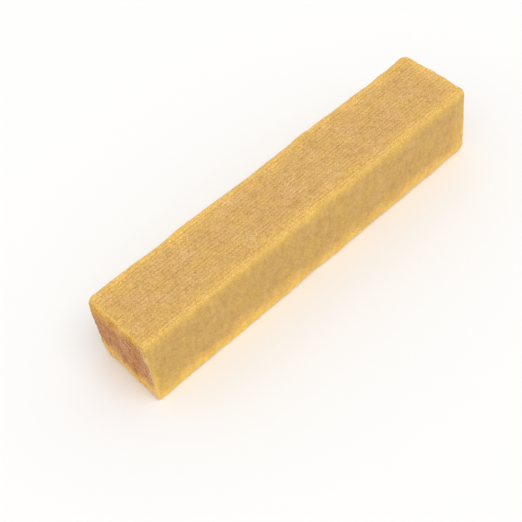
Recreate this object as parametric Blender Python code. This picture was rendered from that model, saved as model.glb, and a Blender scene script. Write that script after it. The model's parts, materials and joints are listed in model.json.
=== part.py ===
"""Cleaning stick of natural crepe rubber, for sanding belts and discs.

The stick is a square bar cut from a slab of thin rubber sheets that were plied up and bond by their
own tack. The plies stand upright, side by side across the bar's width, and run its whole length.
Units are metres. +X runs along the bar, +Y across the plies, and +Z is up. The origin is at the centre
of the bar's bottom face.
"""

import math

import bmesh
import bpy

# Driving dimensions of the bar.
BAR_LENGTH = 0.200
BAR_WIDTH = 0.040
BAR_HEIGHT = 0.040
EDGE_RADIUS = 0.0035

# The plies, and the clearance that keeps their solids apart.
PLY_COUNT = 22
PLY_GAP = 0.0003
PLY_THICKNESS = (BAR_WIDTH - (PLY_COUNT - 1) * PLY_GAP) / PLY_COUNT

# How finely the rounded edges are faceted.
CORNER_STEPS = 6
EDGE_STATIONS = 5
SMALLEST_CORNER_RADIUS = 0.0004
SMOOTH_ANGLE = math.radians(35)

# Raw pale crepe: each ply's tone differs a little from its neighbour's.
CREPE_COLOUR = (0.69, 0.43, 0.155)
TONE_SPREAD = 0.05
TONE_STEP = 2.4
CREPE_ROUGHNESS = 0.62


def clear_scene():
    for old in list(bpy.data.objects):
        bpy.data.objects.remove(old, do_unlink=True)


def corner_radius(y):
    """Radius of the bar's lengthwise section's corners at distance |y| from its middle plane."""
    into_rounding = abs(y) - (BAR_WIDTH / 2 - EDGE_RADIUS)
    if into_rounding <= 0:
        return EDGE_RADIUS
    squared = EDGE_RADIUS**2 - into_rounding**2
    return max(SMALLEST_CORNER_RADIUS, math.sqrt(max(squared, 0.0)))


def section_outline(radius):
    """Rounded rectangle in the XZ plane, anticlockwise from the corner at +X +Z."""
    core_x = BAR_LENGTH / 2 - EDGE_RADIUS
    core_low = EDGE_RADIUS
    core_high = BAR_HEIGHT - EDGE_RADIUS
    corners = (
        (core_x, core_high, 0.0),
        (-core_x, core_high, 90.0),
        (-core_x, core_low, 180.0),
        (core_x, core_low, 270.0),
    )
    outline = []
    for centre_x, centre_z, first_angle in corners:
        for step in range(CORNER_STEPS + 1):
            angle = math.radians(first_angle + 90.0 * step / CORNER_STEPS)
            outline.append((centre_x + radius * math.cos(angle), centre_z + radius * math.sin(angle)))
    return outline


def ply_stations(low_y, high_y):
    """Places across the ply where its outline is drawn: more of them where the bar's edge is rounded."""
    rounding_starts = BAR_WIDTH / 2 - EDGE_RADIUS
    in_rounding = max(abs(low_y), abs(high_y)) > rounding_starts
    count = EDGE_STATIONS if in_rounding else 2
    return [low_y + (high_y - low_y) * step / (count - 1) for step in range(count)]


def ply_mesh(name, low_y, high_y):
    """Closed solid of one ply, with its own origin at the middle of its thickness."""
    middle_y = (low_y + high_y) / 2
    solid = bmesh.new()
    loops = []
    for y in ply_stations(low_y, high_y):
        outline = section_outline(corner_radius(y))
        loops.append([solid.verts.new((x, y - middle_y, z)) for x, z in outline])
    points = len(loops[0])
    for near, far in zip(loops, loops[1:]):
        for i in range(points):
            j = (i + 1) % points
            solid.faces.new((near[i], near[j], far[j], far[i]))
    solid.faces.new(loops[0])
    solid.faces.new(loops[-1])
    bmesh.ops.recalc_face_normals(solid, faces=solid.faces)
    mesh = bpy.data.meshes.new(name)
    solid.to_mesh(mesh)
    solid.free()
    mesh.shade_smooth()
    mesh.set_sharp_from_angle(angle=SMOOTH_ANGLE)
    return mesh


def crepe_material(name, number):
    tone = 1.0 + TONE_SPREAD * math.sin(TONE_STEP * number)
    material = bpy.data.materials.new(name)
    material.use_nodes = True
    shader = material.node_tree.nodes["Principled BSDF"]
    shader.inputs["Base Color"].default_value = (*(channel * tone for channel in CREPE_COLOUR), 1.0)
    shader.inputs["Roughness"].default_value = CREPE_ROUGHNESS
    shader.inputs["Metallic"].default_value = 0.0
    return material


def add_ply(number, bar):
    """One upright ply. They are numbered from the -Y side of the bar."""
    name = f"crepe_ply_{number:02d}"
    low_y = -BAR_WIDTH / 2 + (number - 1) * (PLY_THICKNESS + PLY_GAP)
    high_y = low_y + PLY_THICKNESS
    mesh = ply_mesh(name, low_y, high_y)
    mesh.materials.append(crepe_material(name, number))
    ply = bpy.data.objects.new(name, mesh)
    ply.location = (0.0, (low_y + high_y) / 2, 0.0)
    ply.parent = bar
    bpy.context.scene.collection.objects.link(ply)


def main():
    clear_scene()
    bar = bpy.data.objects.new("cleaning_stick", None)
    bpy.context.scene.collection.objects.link(bar)
    for number in range(1, PLY_COUNT + 1):
        add_ply(number, bar)


main()
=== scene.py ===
"""Looks of the crepe-rubber cleaning stick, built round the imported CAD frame.

The CAD plies are plane-sided and stand 0.3 mm apart. Here each one is replaced by a finely meshed
ply that meets its neighbours at the surface: knife-cut edges with wandering joints on the top, bottom
and ends, and a pebbled rolled face on the outside of the two outermost plies.
Units are metres. +X runs along the bar, +Y across the plies, and +Z is up.
"""

import itertools
import json
import math

import bmesh
import bpy
import numpy as np
from mathutils import Matrix, Vector
from mathutils.geometry import delaunay_2d_cdt


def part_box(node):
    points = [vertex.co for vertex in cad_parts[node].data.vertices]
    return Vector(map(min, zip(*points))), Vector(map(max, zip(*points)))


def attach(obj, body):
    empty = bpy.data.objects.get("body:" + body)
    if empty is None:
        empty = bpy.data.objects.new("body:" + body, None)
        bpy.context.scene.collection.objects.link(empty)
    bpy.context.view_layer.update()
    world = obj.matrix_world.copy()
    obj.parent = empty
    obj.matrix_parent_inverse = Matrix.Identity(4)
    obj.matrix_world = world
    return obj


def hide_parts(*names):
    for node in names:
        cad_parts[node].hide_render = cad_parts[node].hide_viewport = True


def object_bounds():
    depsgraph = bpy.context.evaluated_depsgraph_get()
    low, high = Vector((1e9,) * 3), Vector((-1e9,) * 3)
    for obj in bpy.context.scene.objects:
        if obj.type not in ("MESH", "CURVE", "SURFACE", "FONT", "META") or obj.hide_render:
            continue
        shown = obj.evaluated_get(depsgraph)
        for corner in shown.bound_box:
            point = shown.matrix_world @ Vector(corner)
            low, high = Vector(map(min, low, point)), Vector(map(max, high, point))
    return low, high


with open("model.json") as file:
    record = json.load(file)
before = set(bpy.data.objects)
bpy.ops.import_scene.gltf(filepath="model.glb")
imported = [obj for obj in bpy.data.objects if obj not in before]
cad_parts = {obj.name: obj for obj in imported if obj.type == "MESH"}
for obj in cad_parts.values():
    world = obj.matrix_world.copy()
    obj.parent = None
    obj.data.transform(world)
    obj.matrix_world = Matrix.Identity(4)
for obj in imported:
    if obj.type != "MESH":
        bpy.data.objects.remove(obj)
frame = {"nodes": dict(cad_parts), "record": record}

MM = 0.001

# The CAD box, and the plies in order across the bar.
CAD_LOW, CAD_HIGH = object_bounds()
HALF_LENGTH = (CAD_HIGH.x - CAD_LOW.x) / 2
HALF_WIDTH = (CAD_HIGH.y - CAD_LOW.y) / 2
HEIGHT = CAD_HIGH.z
PLY_NAMES = sorted(name for name in frame["nodes"] if name.startswith("crepe_ply_"))
SLOTS = {row["node"]: row["material_slot"] for row in frame["record"]["subparts"]}

# Mesh fineness: fine on the surfaces that show, coarse on the hidden faces along the joints.
GRID_STEP = 0.45 * MM
ACROSS_PLY = (0.0, 0.07, 0.2, 0.4, 0.6, 0.8, 0.93, 1.0)
HIDDEN_STEP, HIDDEN_ROWS = 9 * MM, 5
HIDDEN_INSET = 0.15 * MM
SHARP_ANGLE = math.radians(55)

# Rounded edges of the bar. The spread and the wear are shares of the radius.
EDGE_RADIUS = 3.3 * MM
EDGE_RADIUS_SPREAD = 0.16
EDGE_RADIUS_CELL = 18 * MM
EDGE_RADIUS_WEAR = 0.3

# Relief. Each depth is the root mean square of the noise it scales, and each cell is its bump size. A
# stretch is how many times longer a mark is than its cell.
NOISE_GAIN = 4.0
SWELL_DEPTH, SWELL_CELL = 0.1 * MM, 9 * MM
RIPPLE_DEPTH, RIPPLE_CELL = 0.08 * MM, 3.5 * MM
WANDER_SHARED, WANDER_SHARED_CELL = 0.07 * MM, 14 * MM
WANDER_OWN, WANDER_OWN_CELL = 0.04 * MM, 4 * MM
GROOVE_DEPTH, GROOVE_WIDTH, GROOVE_CELL = 0.13 * MM, 0.38 * MM, 1.1 * MM
GROOVE_MEAN, GROOVE_SPREAD, GROOVE_LEAST, GROOVE_MOST = 0.8, 0.4, 0.1, 1.6
END_GROOVE = 0.5
TUFT_DEPTH, TUFT_CELL = 0.05 * MM, 0.9 * MM
SCRATCH_DEPTH, SCRATCH_CELL, SCRATCH_TILT = 0.03 * MM, 0.8 * MM, math.radians(17)
SCRATCH_STRETCH = 3
SAW_DEPTH, SAW_CELL, SAW_TILT = 0.07 * MM, 0.75 * MM, math.radians(28)
SAW_REACH_IN, SAW_STRETCH = 4, 5
PEBBLE_DEPTH, PEBBLE_CELL, PEBBLE_STRETCH = 0.035 * MM, 2.2 * MM, 2
FRAY_WIDTH = 7 * MM

# Each ply stands a little proud or shy of its neighbours, on the ends less so towards the top.
CUT_STEP, NEAR_END_STEP, FAR_END_STEP, STEP_FADE = 0.03 * MM, 0.18 * MM, 0.1 * MM, 0.7

# Looks: how far light soaks in from the edges, how far they are yellow with painted light shining through the
# thin rubber, and how big the patches of pale crackle are. The two dims stretch the distances to the ends, so
# that less light comes in there.
GLOW_FRONT_TOP, GLOW_BACK_TOP, GLOW_BOTTOM = 3.7 * MM, 7.3 * MM, 13 * MM
GLOW_FULL, GLOW_WAVE, GLOW_CELL = 10 * MM, 0.15, 11 * MM
NEAR_END_DIM, FAR_END_DIM = 3.0, 0.75
END_LOW_GLOW = 0.21
AMBER_WIDTH, END_AMBER_SHIFT, END_LOW_AMBER = 10 * MM, 6 * MM, 0.2
PATCH_CELL = 11 * MM

# How much each kind of mark counts in the rise, which lightens what stands up and darkens what sinks: painted
# light and shade on the relief.
TUFT_RISE, SCRATCH_RISE, SAW_RISE, PEBBLE_RISE = 0.5, 0.4, 0.6, 0.5

# Seeds, one for each kind of noise. Joint numbers are added to SEED_WANDER and SEED_JOINT, and ply
# numbers to SEED_TUFT.
SEED_RADIUS, SEED_SWELL, SEED_RIPPLE, SEED_WANDER = 11, 12, 13, 14
SEED_SCRATCH, SEED_SAW, SEED_PEBBLE, SEED_GLOW, SEED_PATCH, SEED_STEP = 65, 66, 67, 68, 69, 70
SEED_TUFT, SEED_JOINT = 100, 200

# Vertex attributes that the plies carry and the materials read.
LOOKS = ("seam", "fray", "rise", "glow", "amber", "patch", "end", "side")


def gradient_noise(points, cell, seed):
    """Perlin's noise at (N, 3) points, scaled to a root mean square of about 1. cell may differ by axis."""
    rng = np.random.default_rng(seed)
    directions = rng.normal(size=(256, 3))
    directions /= np.linalg.norm(directions, axis=1, keepdims=True)
    shuffle = rng.permutation(256)
    scaled = points / np.asarray(cell, float) + rng.uniform(0, 256, 3)
    low = np.floor(scaled).astype(int)
    inside = scaled - low
    ease = inside**3 * (inside * (inside * 6 - 15) + 10)
    total = np.zeros(len(points))
    for corner in itertools.product((0, 1), repeat=3):
        at = (low + corner) & 255
        hashed = shuffle[(shuffle[at[:, 0]] + at[:, 1]) & 255]
        hashed = shuffle[(hashed + at[:, 2]) & 255]
        slope = (directions[hashed] * (inside - corner)).sum(axis=1)
        total += slope * np.prod(np.where(corner, ease, 1 - ease), axis=1)
    return total * NOISE_GAIN


def smooth_step(value, low, high):
    t = np.clip((value - low) / (high - low), 0, 1)
    return t * t * (3 - 2 * t)


def joint_planes():
    """Middle Y of each joint between two plies, with the bar's two sides first and last."""
    boxes = [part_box(name) for name in PLY_NAMES]
    inner = [(a[1].y + b[0].y) / 2 for a, b in zip(boxes, boxes[1:])]
    return [-HALF_WIDTH, *inner, HALF_WIDTH]


JOINTS = joint_planes()


def joint_y(number, x, z):
    """Where joint number runs at each (x, z): joints wander, and neighbours wander mostly together."""
    flat = np.full(len(x), JOINTS[number])
    if number in (0, len(JOINTS) - 1):
        return flat
    points = np.stack([x, flat, z], axis=1)
    shared = gradient_noise(points, WANDER_SHARED_CELL, SEED_WANDER) * WANDER_SHARED
    own = gradient_noise(points, WANDER_OWN_CELL, SEED_WANDER + number) * WANDER_OWN
    return flat + shared + own


def rounded(points):
    """Points of the sharp box moved onto the bar with rounded edges, and the outward normals there.

    The long edges are the most worn on the +Y side and at the far end, and the sharpest at the near
    end's -Y side.
    """
    radius = gradient_noise(points, EDGE_RADIUS_CELL, SEED_RADIUS) * EDGE_RADIUS_SPREAD
    across = points[:, 1] / HALF_WIDTH
    sharp = (1 - points[:, 0] / HALF_LENGTH) * (1 - across) / 4
    radius += EDGE_RADIUS_WEAR * (1 - 2 * sharp) * across**2
    radius = EDGE_RADIUS * (1 + radius)[:, None]
    middle = np.array([0, 0, HEIGHT / 2])
    half = np.array([HALF_LENGTH, HALF_WIDTH, HEIGHT / 2])
    local = points - middle
    core = np.clip(local, radius - half, half - radius)
    outward = local - core
    outward /= np.linalg.norm(outward, axis=1, keepdims=True)
    return middle + core + outward * radius, outward


def edge_distance(points, on_end, near_end=1.0, far_end=1.0):
    """Distance to the nearest edge of the face. On an end, only its top and bottom edges count.

    near_end and far_end stretch the distances to the two ends.
    """
    half = np.array([HALF_LENGTH, HALF_WIDTH, HEIGHT / 2])
    inward = half - np.abs(points - np.array([0, 0, HEIGHT / 2]))
    inward[:, 0] *= np.where(points[:, 0] < 0, near_end, far_end)
    nearest = np.sort(inward, axis=1)[:, 1]
    return nearest * (1 - on_end) + inward[:, 2] * on_end


def glow(points, from_edge, on_end):
    """How much light soaks in from the edges, from 0 to about 1.5. The low edges take in the most."""
    back = points[:, 1] / (2 * HALF_WIDTH) + 0.5
    low = 1 - points[:, 2] / HEIGHT
    reach = GLOW_FRONT_TOP + (GLOW_BACK_TOP - GLOW_FRONT_TOP) * back
    reach += (GLOW_BOTTOM - reach) * low**2
    reach *= 1 + GLOW_WAVE * gradient_noise(points, GLOW_CELL, SEED_GLOW)
    fall = np.exp(-((from_edge / reach) ** (2 + on_end)))
    return reach / GLOW_FULL * fall * (1 + END_LOW_GLOW * on_end * low)


def amber(points, from_edge, on_end):
    """How yellow the rubber is near the edges, from 0 to 1: the painted yellow of light shining through the
    thin edges. An end is less so towards its bottom.
    """
    yellow = 1 - smooth_step(from_edge - END_AMBER_SHIFT * on_end, 0, AMBER_WIDTH)
    low = 1 - points[:, 2] / HEIGHT
    return yellow * (1 - (1 - END_LOW_AMBER) * on_end * low)


def groove(distance, joint, points):
    """How deep the joint's groove is at points this far from it, from 0 to GROOVE_MOST."""
    if joint in (0, len(JOINTS) - 1):
        return np.zeros(len(points))
    strength = gradient_noise(points, (GROOVE_CELL, HALF_WIDTH, GROOVE_CELL), SEED_JOINT + joint)
    strength = np.clip(GROOVE_MEAN + GROOVE_SPREAD * strength, GROOVE_LEAST, GROOVE_MOST)
    return strength * np.exp(-((distance / GROOVE_WIDTH) ** 2))


def tilted(points, across, up, angle):
    """Points turned by angle in the plane of two axes, across and up, for marks that run at a slant."""
    turned = points.copy()
    turned[:, across] = points[:, across] * math.cos(angle) + points[:, up] * math.sin(angle)
    turned[:, up] = points[:, up] * math.cos(angle) - points[:, across] * math.sin(angle)
    return turned


# How many steps each ply stands out at the near end, at the far end, and on the top and bottom.
STEPS = np.random.default_rng(SEED_STEP).normal(size=(len(PLY_NAMES), 3))


def marks(ply, flat, on_end, on_side, on_cut):
    """Tufts, knife scratches, saw marks and pebbles at flat points, each on the faces that have them."""
    tuft = gradient_noise(flat, (TUFT_CELL, HALF_WIDTH, TUFT_CELL), SEED_TUFT + ply) * (on_end + on_cut)
    cells = (SCRATCH_STRETCH * SCRATCH_CELL, SCRATCH_CELL, HEIGHT)
    scratch = gradient_noise(tilted(flat, 0, 1, SCRATCH_TILT), cells, SEED_SCRATCH) * on_cut
    cells = (SAW_CELL * SAW_REACH_IN, SAW_CELL * SAW_STRETCH, SAW_CELL)
    saw = gradient_noise(tilted(flat, 1, 2, SAW_TILT), cells, SEED_SAW) * on_end
    cells = (PEBBLE_CELL, PEBBLE_CELL, PEBBLE_STRETCH * PEBBLE_CELL)
    pebble = gradient_noise(flat, cells, SEED_PEBBLE) * on_side
    return tuft, scratch, saw, pebble


def ply_step(ply, x, z, on_end, on_cut):
    """How far the ply stands proud of the bar's mean surface, or shy of it."""
    near_end, far_end, top = STEPS[ply]
    low_down = 1 - STEP_FADE * z / HEIGHT
    step = np.where(x < 0, near_end * NEAR_END_STEP, far_end * FAR_END_STEP) * low_down
    return step * on_end + top * CUT_STEP * on_cut


def surface(ply, x, y, z, low_y, high_y):
    """Final places and looks of points on ply's outside. low_y and high_y are its two joints there."""
    flat = np.stack([x, y, z], axis=1)
    places, normals = rounded(flat)
    facing = normals**2
    on_end, on_side, on_cut = facing[:, 0], facing[:, 1], facing[:, 2]
    seam = groove(y - low_y, ply, flat) + groove(high_y - y, ply + 1, flat)
    seam *= on_cut + END_GROOVE * on_end
    fray = smooth_step(-y, HALF_WIDTH - FRAY_WIDTH, HALF_WIDTH) * on_end
    tuft, scratch, saw, pebble = marks(ply, flat, on_end, on_side, on_cut)
    height = gradient_noise(flat, SWELL_CELL, SEED_SWELL) * SWELL_DEPTH
    height += gradient_noise(flat, RIPPLE_CELL, SEED_RIPPLE) * RIPPLE_DEPTH
    height += tuft * TUFT_DEPTH + scratch * SCRATCH_DEPTH + saw * SAW_DEPTH + pebble * PEBBLE_DEPTH
    height += ply_step(ply, x, z, on_end, on_cut)
    height -= seam * GROOVE_DEPTH * (1 + fray)
    places = places + normals * height[:, None]
    places[:, 2] = np.maximum(places[:, 2], 0)
    from_edge = edge_distance(places, on_end)
    from_light = edge_distance(places, on_end, NEAR_END_DIM, FAR_END_DIM)
    looks = {
        "seam": seam,
        "fray": fray * (1 - seam),
        "rise": tuft * TUFT_RISE + scratch * SCRATCH_RISE + saw * SAW_RISE + pebble * PEBBLE_RISE,
        "glow": glow(flat, from_light, on_end),
        "amber": amber(flat, from_edge, on_end),
        "patch": gradient_noise(flat, PATCH_CELL, SEED_PATCH),
        "end": on_end,
        "side": on_side,
    }
    return places, looks


def border(columns, rows):
    """(column, row) steps once round a columns x rows grid, anticlockwise from its low corner."""
    return (
        [(i, 0) for i in range(columns)]
        + [(columns, j) for j in range(rows)]
        + [(i, rows) for i in range(columns, 0, -1)]
        + [(0, j) for j in range(rows, 0, -1)]
    )


COLUMNS = round(2 * HALF_LENGTH / GRID_STEP)
ROWS = round(HEIGHT / GRID_STEP)
BORDER = border(COLUMNS, ROWS)


def grid_xz(steps):
    """X and Z at (column, row) steps of the grid over a side of the bar."""
    steps = np.array(steps, float)
    return -HALF_LENGTH + 2 * HALF_LENGTH * steps[:, 0] / COLUMNS, HEIGHT * steps[:, 1] / ROWS


def ply_rim(ply):
    """Rings of the ply's cut edge, one for each column across it: places, looks, and the ring length."""
    x, z = grid_xz(BORDER)
    low_y, high_y = joint_y(ply, x, z), joint_y(ply + 1, x, z)
    rings = [surface(ply, x, low_y + (high_y - low_y) * t, z, low_y, high_y) for t in ACROSS_PLY]
    places = np.concatenate([ring[0] for ring in rings])
    looks = {key: np.concatenate([ring[1][key] for ring in rings]) for key in rings[0][1]}
    return places, looks, len(x)


def rolled_face(ply, joint, ring_start, base):
    """The visible outer face: a grid inside the ring that starts at ring_start. New points follow base."""
    steps = [(i, j) for j in range(1, ROWS) for i in range(1, COLUMNS)]
    x, z = grid_xz(steps)
    y = joint_y(joint, x, z)
    places, looks = surface(ply, x, y, z, joint_y(ply, x, z), joint_y(ply + 1, x, z))
    index = {step: ring_start + n for n, step in enumerate(BORDER)}
    index.update({step: base + n for n, step in enumerate(steps)})
    faces = [
        (index[i, j], index[i + 1, j], index[i + 1, j + 1], index[i, j + 1])
        for j in range(ROWS)
        for i in range(COLUMNS)
    ]
    return places, looks, faces


def bonded_face(joint, inward, ring, ring_start, base):
    """The hidden face along a joint: a coarse triangulation inside its ring, set back a little."""
    border_xz = ring[:, [0, 2]]
    margin = HIDDEN_STEP / 2
    inner_x = np.arange(-HALF_LENGTH + margin, HALF_LENGTH - margin / 2, HIDDEN_STEP)
    inner_z = np.linspace(margin, HEIGHT - margin, HIDDEN_ROWS)
    inner_xz = np.array(list(itertools.product(inner_x, inner_z)))
    every = [Vector(point) for point in np.concatenate([border_xz, inner_xz])]
    loop = list(range(len(border_xz)))
    # Output type 1 keeps only what is inside the loop.
    made, _, triangles, origins, _, _ = delaunay_2d_cdt(every, [], [loop], 1, 1e-9)
    index = []
    places = []
    for point, origin in zip(made, origins):
        if origin and min(origin) < len(border_xz):
            index.append(ring_start + min(origin))
        else:
            index.append(base + len(places))
            x, z = np.array([point.x]), np.array([point.y])
            places.append((point.x, joint_y(joint, x, z)[0] + inward * HIDDEN_INSET, point.y))
    faces = [tuple(index[corner] for corner in triangle) for triangle in triangles]
    return np.array(places), faces


def ply_mesh(ply, name):
    """One closed, outward-facing ply with its looks as vertex attributes."""
    places, looks, length = ply_rim(ply)
    faces = []
    for ring in range(len(ACROSS_PLY) - 1):
        near = ring * length
        for i in range(length):
            j = (i + 1) % length
            faces.append((near + i, near + j, near + length + j, near + length + i))
    last_start = (len(ACROSS_PLY) - 1) * length
    for joint, ring_start, inward in ((ply, 0, 1), (ply + 1, last_start, -1)):
        if joint in (0, len(JOINTS) - 1):
            more, more_looks, more_faces = rolled_face(ply, joint, ring_start, len(places))
        else:
            ring = places[ring_start : ring_start + length]
            more, more_faces = bonded_face(joint, inward, ring, ring_start, len(places))
            more_looks = {key: np.zeros(len(more)) for key in looks}
        places = np.concatenate([places, more])
        looks = {key: np.concatenate([looks[key], more_looks[key]]) for key in looks}
        faces += more_faces
    mesh = bpy.data.meshes.new(name)
    mesh.from_pydata(places.tolist(), [], faces)
    solid = bmesh.new()
    solid.from_mesh(mesh)
    bmesh.ops.recalc_face_normals(solid, faces=solid.faces)
    solid.to_mesh(mesh)
    solid.free()
    mesh.shade_smooth()
    mesh.set_sharp_from_angle(angle=SHARP_ANGLE)
    for key, values in looks.items():
        layer = mesh.attributes.new(key, "FLOAT", "POINT")
        layer.data.foreach_set("value", values.astype(np.float32))
    return mesh


# Materials


def add_node(tree, kind, **settings):
    node = tree.nodes.new(kind)
    for key, value in settings.items():
        setattr(node, key, value)
    return node


def mix_colour(tree, factor, first, second, blend="MIX"):
    """Mixes two colours, each a socket or a plain RGB tuple, by a factor socket or number."""
    node = add_node(tree, "ShaderNodeMix", data_type="RGBA", blend_type=blend)
    for name, value in (("Factor_Float", factor), ("A_Color", first), ("B_Color", second)):
        socket = next(s for s in node.inputs if s.identifier == name)
        if isinstance(value, bpy.types.NodeSocket):
            tree.links.new(value, socket)
        elif isinstance(value, tuple):
            socket.default_value = (*value, 1.0)
        else:
            socket.default_value = value
    return next(s for s in node.outputs if s.identifier == "Result_Color")


def math_node(tree, operation, *values):
    node = add_node(tree, "ShaderNodeMath", operation=operation)
    for socket, value in zip(node.inputs, values):
        if isinstance(value, bpy.types.NodeSocket):
            tree.links.new(value, socket)
        else:
            socket.default_value = value
    return node.outputs[0]


def spread(tree, value, low, high, to_low=0.0, to_high=1.0):
    """Maps value from low..high to to_low..to_high, smoothly, and holds it there."""
    node = add_node(tree, "ShaderNodeMapRange", interpolation_type="SMOOTHSTEP")
    tree.links.new(value, node.inputs["Value"])
    for name, number in (("From Min", low), ("From Max", high), ("To Min", to_low), ("To Max", to_high)):
        node.inputs[name].default_value = number
    return node.outputs[0]


def attribute(tree, name):
    return add_node(tree, "ShaderNodeAttribute", attribute_name=name).outputs["Fac"]


def stretched(tree, stretch, tilt):
    """Object coordinates turned by tilt about X, in millimetres, divided by stretch along each axis."""
    coordinates = add_node(tree, "ShaderNodeTexCoord").outputs["Object"]
    mapping = add_node(tree, "ShaderNodeMapping", vector_type="TEXTURE")
    tree.links.new(coordinates, mapping.inputs["Vector"])
    mapping.inputs["Rotation"].default_value = (tilt, 0, 0)
    mapping.inputs["Scale"].default_value = [MM * s for s in stretch]
    return mapping.outputs[0]


def noise(tree, size, detail=2.0, rough=0.5, tilt=0.0):
    """3D noise whose features are about size millimetres wide. size may differ by axis."""
    sizes = size if isinstance(size, tuple) else (size,) * 3
    node = add_node(tree, "ShaderNodeTexNoise")
    tree.links.new(stretched(tree, sizes, tilt), node.inputs["Vector"])
    node.inputs["Scale"].default_value = 1.0
    node.inputs["Detail"].default_value = detail
    node.inputs["Roughness"].default_value = rough
    return node.outputs["Fac"]


# Colours. The shades, lights and END_AMBER multiply what is under them, and AMBER covers AMBER_SHARE.
TAN = (0.706, 0.428, 0.140)
TAN_DEEP = (0.640, 0.379, 0.119)
ROSE = (0.739, 0.427, 0.165)
# AMBER and END_AMBER paint the yellow of light shining through the thin edges.
AMBER, AMBER_SHARE = (0.722, 0.441, 0.110), 0.8
STRAW = (0.710, 0.432, 0.115)
SIDE_SHADE = (0.888, 0.888, 0.780)
EDGE_LIGHT = (1.40, 1.44, 1.25)
END_BROWN = (0.48, 0.183, 0.048)
END_ROSE = (0.56, 0.214, 0.0585)
END_AMBER = (0.95, 0.86, 0.31)
END_EDGE_LIGHT = (1.775, 2.72, 2.31)
PALE_SPECK_AND_GLINT = (0.84, 0.55, 0.30)
PALE_WRINKLE = (0.86, 0.60, 0.30)
GROOVE_DIRT_AND_SHADE = (0.43, 0.21, 0.045)

# How strongly the fine light and dark marks show, and what share of that red, green and blue take.
# The dashes are weaker on the sides by SIDE_CALM, and full glow leaves SAWN_IN_GLOW of the saw marks.
DASH_SHADE, RISE_SHADE, SAW_SHADE = 0.26, 0.13, 0.42
SHADE_TINT = (0.74, 1.0, 1.45)
SIDE_CALM, SAWN_IN_GLOW = 0.4, 0.35
SEAM_SHADE = 0.28

# How much pale crackle, partly talc bloom and partly painted glints, there is: between patches, in the
# patches of each kind of face, and on the ends.
CRACKLE_LEAST, CRACKLE_ROLLED, CRACKLE_CUT, CRACKLE_END = 0.06, 0.2, 0.9, 0.25

# Finish: the range of the roughness, the fine grain, and the shine.
SMOOTHEST, ROUGHEST = 0.48, 0.68
GRAIN_STRENGTH, GRAIN_DEPTH = 0.5, 0.05 * MM
SHINE = 0.3


def swing(tree, value, low, high, strength):
    """Maps value from low..high to -strength..strength."""
    return spread(tree, value, low, high, -strength, strength)


def bar_colour(tree, look):
    """Tan and rose blotches on the long faces, and straw yellow near the edges, where light comes in."""
    blotches = spread(tree, noise(tree, (5.0, 4.0, 4.0), 3.0), 0.3, 0.7)
    colour = mix_colour(tree, blotches, TAN_DEEP, TAN)
    rosy = spread(tree, noise(tree, (12.0, 8.0, 8.0), 2.0), 0.5, 0.68, 0.0, 0.6)
    colour = mix_colour(tree, rosy, colour, ROSE)
    straw = spread(tree, noise(tree, (11.0, 7.0, 7.0), 2.0), 0.5, 0.36, 0.0, 0.8)
    colour = mix_colour(tree, straw, colour, STRAW)
    colour = mix_colour(tree, math_node(tree, "MULTIPLY", look["amber"], AMBER_SHARE), colour, AMBER)
    colour = mix_colour(tree, look["side"], colour, SIDE_SHADE, "MULTIPLY")
    return mix_colour(tree, look["glow"], colour, EDGE_LIGHT, "MULTIPLY")


def end_colour(tree, look):
    """The browner ends, yellow near their tops and bottoms."""
    # Rosier where the saw marks stand up, browner where they sink: partly the streaks' own tone, partly
    # painted light and shade on the relief.
    colour = mix_colour(tree, spread(tree, look["rise"], -1.6, 1.8), END_BROWN, END_ROSE)
    colour = mix_colour(tree, look["amber"], colour, END_AMBER, "MULTIPLY")
    return mix_colour(tree, look["glow"], colour, END_EDGE_LIGHT, "MULTIPLY")


def fine_shade(tree, look, saw_marks, sawn):
    """Dashes, painted light and shade on the relief, and saw marks, as a colour that multiplies what is under
    it.
    """
    dashes = swing(tree, noise(tree, (0.7, 0.45, 0.45), 1.0), 0.25, 0.75, DASH_SHADE)
    calm = math_node(tree, "MULTIPLY_ADD", look["side"], -SIDE_CALM, 1.0)
    shade = math_node(tree, "MULTIPLY_ADD", dashes, calm, swing(tree, look["rise"], -2.0, 2.0, RISE_SHADE))
    streaks = swing(tree, saw_marks, 0.25, 0.75, SAW_SHADE)
    shade = math_node(tree, "MULTIPLY_ADD", streaks, sawn, shade)
    tinted = add_node(tree, "ShaderNodeCombineColor")
    for socket, share in zip(tinted.inputs, SHADE_TINT):
        tree.links.new(math_node(tree, "MULTIPLY_ADD", shade, share, 1.0), socket)
    return tinted.outputs[0]


def add_pale_marks(tree, look, colour, saw_marks, sawn, most_crackle):
    """Colour with pale crackle in patches, partly talc bloom and partly painted glints, torn saw marks on the
    ends, and wrinkles along the frayed edge.
    """
    crackle = spread(tree, noise(tree, (0.9, 0.5, 0.5), 1.5), 0.52, 0.66)
    gathered = spread(tree, look["patch"], 0.2, 1.6, CRACKLE_LEAST, most_crackle)
    gathered = math_node(tree, "MULTIPLY_ADD", look["end"], CRACKLE_END, gathered)
    # Pale crackle: partly talc bloom, partly painted glints.
    colour = mix_colour(tree, math_node(tree, "MULTIPLY", crackle, gathered), colour, PALE_SPECK_AND_GLINT)
    torn = spread(tree, saw_marks, 0.5, 0.7, 0.0, 0.3)
    colour = mix_colour(tree, math_node(tree, "MULTIPLY", torn, sawn), colour, PALE_SPECK_AND_GLINT)
    wrinkles = spread(tree, noise(tree, (0.6, 0.6, 6.0), 1.0), 0.48, 0.62)
    return mix_colour(tree, math_node(tree, "MULTIPLY", look["fray"], wrinkles), colour, PALE_WRINKLE)


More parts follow.
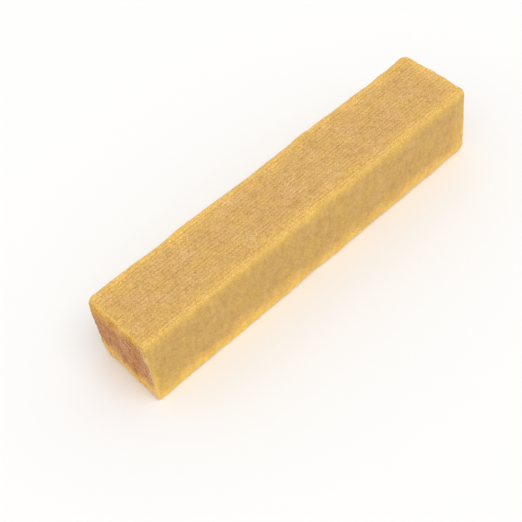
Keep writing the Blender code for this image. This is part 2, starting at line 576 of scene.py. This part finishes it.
def add_finish(tree, shader):
    """Waxy, unevenly rough rubber with a fine grain."""
    roughness = spread(tree, noise(tree, 1.2, 2.0), 0.3, 0.7, SMOOTHEST, ROUGHEST)
    tree.links.new(roughness, shader.inputs["Roughness"])
    bump = add_node(tree, "ShaderNodeBump")
    bump.inputs["Strength"].default_value = GRAIN_STRENGTH
    bump.inputs["Distance"].default_value = GRAIN_DEPTH
    tree.links.new(noise(tree, 0.7, 3.0, 0.6), bump.inputs["Height"])
    tree.links.new(bump.outputs[0], shader.inputs["Normal"])
    shader.inputs["Specular IOR Level"].default_value = SHINE


def crepe_material(name, most_crackle):
    """Raw crepe rubber. Its looks come from the plies' vertex attributes and from noises."""
    material = bpy.data.materials.new(name)
    material.use_nodes = True
    tree = material.node_tree
    shader = tree.nodes["Principled BSDF"]
    look = {key: attribute(tree, key) for key in LOOKS}
    at_end = spread(tree, look["end"], 0.3, 0.9)
    colour = mix_colour(tree, at_end, bar_colour(tree, look), end_colour(tree, look))
    saw_marks = noise(tree, (2.4, 2.4, 0.5), 2.0, tilt=SAW_TILT)
    left = spread(tree, look["glow"], 0.1, 0.9, 1.0, SAWN_IN_GLOW)
    sawn = math_node(tree, "MULTIPLY", look["end"], left)
    colour = mix_colour(tree, 1.0, colour, fine_shade(tree, look, saw_marks, sawn), "MULTIPLY")
    # Browner along the joints: partly dirt in the joints, partly painted shade in the grooves.
    colour = mix_colour(tree, math_node(tree, "MULTIPLY", look["seam"], SEAM_SHADE), colour, GROOVE_DIRT_AND_SHADE)
    colour = add_pale_marks(tree, look, colour, saw_marks, sawn, most_crackle)
    tree.links.new(colour, shader.inputs["Base Color"])
    add_finish(tree, shader)
    return material


def add_plies():
    materials = {
        "face_ply_crepe": crepe_material("rolled_crepe", CRACKLE_ROLLED),
        "inner_ply_crepe": crepe_material("cut_crepe", CRACKLE_CUT),
    }
    for ply, node in enumerate(PLY_NAMES):
        name = f"ply_{ply + 1:02d}"
        mesh = ply_mesh(ply, name)
        mesh.materials.append(materials[SLOTS[node]])
        piece = bpy.data.objects.new(name, mesh)
        bpy.context.scene.collection.objects.link(piece)
        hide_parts(node)
        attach(piece, "root")


# Stage

FLOOR_HALF = 3.0
FLOOR_COLOUR, FLOOR_ROUGHNESS = (0.95, 0.95, 0.945), 0.9
WORLD_STRENGTH = 0.8
KEY_FROM, KEY_ANGLE, KEY_STRENGTH = Vector((0.1, -0.42, 0.9)), math.radians(35), 0.87

# The camera stands off the near end, on the -Y side, and is rolled a little.
CAMERA_AIM = Vector((-26.6, -9.2, 20.0)) * MM
CAMERA_AZIMUTH = math.radians(35.2)
CAMERA_ELEVATION = math.radians(51.0)
CAMERA_ROLL = math.radians(-10.2)
CAMERA_DISTANCE = 516.7 * MM
CAMERA_LENS = 79.8
SENSOR_WIDTH = 36.0


def add_floor():
    mesh = bpy.data.meshes.new("studio_floor")
    corners = [(-FLOOR_HALF, -FLOOR_HALF, 0), (FLOOR_HALF, -FLOOR_HALF, 0)]
    corners += [(FLOOR_HALF, FLOOR_HALF, 0), (-FLOOR_HALF, FLOOR_HALF, 0)]
    mesh.from_pydata(corners, [], [(0, 1, 2, 3)])
    material = bpy.data.materials.new("studio_floor")
    material.use_nodes = True
    shader = material.node_tree.nodes["Principled BSDF"]
    shader.inputs["Base Color"].default_value = (*FLOOR_COLOUR, 1.0)
    shader.inputs["Roughness"].default_value = FLOOR_ROUGHNESS
    mesh.materials.append(material)
    floor = bpy.data.objects.new("studio_floor", mesh)
    bpy.context.scene.collection.objects.link(floor)


def add_light():
    world = bpy.data.worlds.new("studio")
    world.use_nodes = True
    world.node_tree.nodes["Background"].inputs["Strength"].default_value = WORLD_STRENGTH
    world.node_tree.nodes["Background"].inputs["Color"].default_value = (1, 1, 1, 1)
    bpy.context.scene.world = world
    lamp = bpy.data.lights.new("key", "SUN")
    lamp.angle = KEY_ANGLE
    lamp.energy = KEY_STRENGTH
    key = bpy.data.objects.new("key", lamp)
    key.rotation_euler = (-KEY_FROM).to_track_quat("-Z", "Y").to_euler()
    bpy.context.scene.collection.objects.link(key)


def add_camera():
    back = Vector((
        -math.sin(CAMERA_AZIMUTH) * math.cos(CAMERA_ELEVATION),
        -math.cos(CAMERA_AZIMUTH) * math.cos(CAMERA_ELEVATION),
        math.sin(CAMERA_ELEVATION),
    ))
    level = (-back).to_track_quat("-Z", "Y").to_matrix()
    turned = level @ Matrix.Rotation(CAMERA_ROLL, 3, "Z")
    data = bpy.data.cameras.new("camera")
    data.lens = CAMERA_LENS
    data.sensor_width = SENSOR_WIDTH
    camera = bpy.data.objects.new("camera", data)
    camera.matrix_world = Matrix.Translation(CAMERA_AIM + back * CAMERA_DISTANCE) @ turned.to_4x4()
    bpy.context.scene.collection.objects.link(camera)
    bpy.context.scene.camera = camera


add_camera()
add_light()
add_floor()
add_plies()
bpy.context.scene.view_settings.view_transform = "Standard"
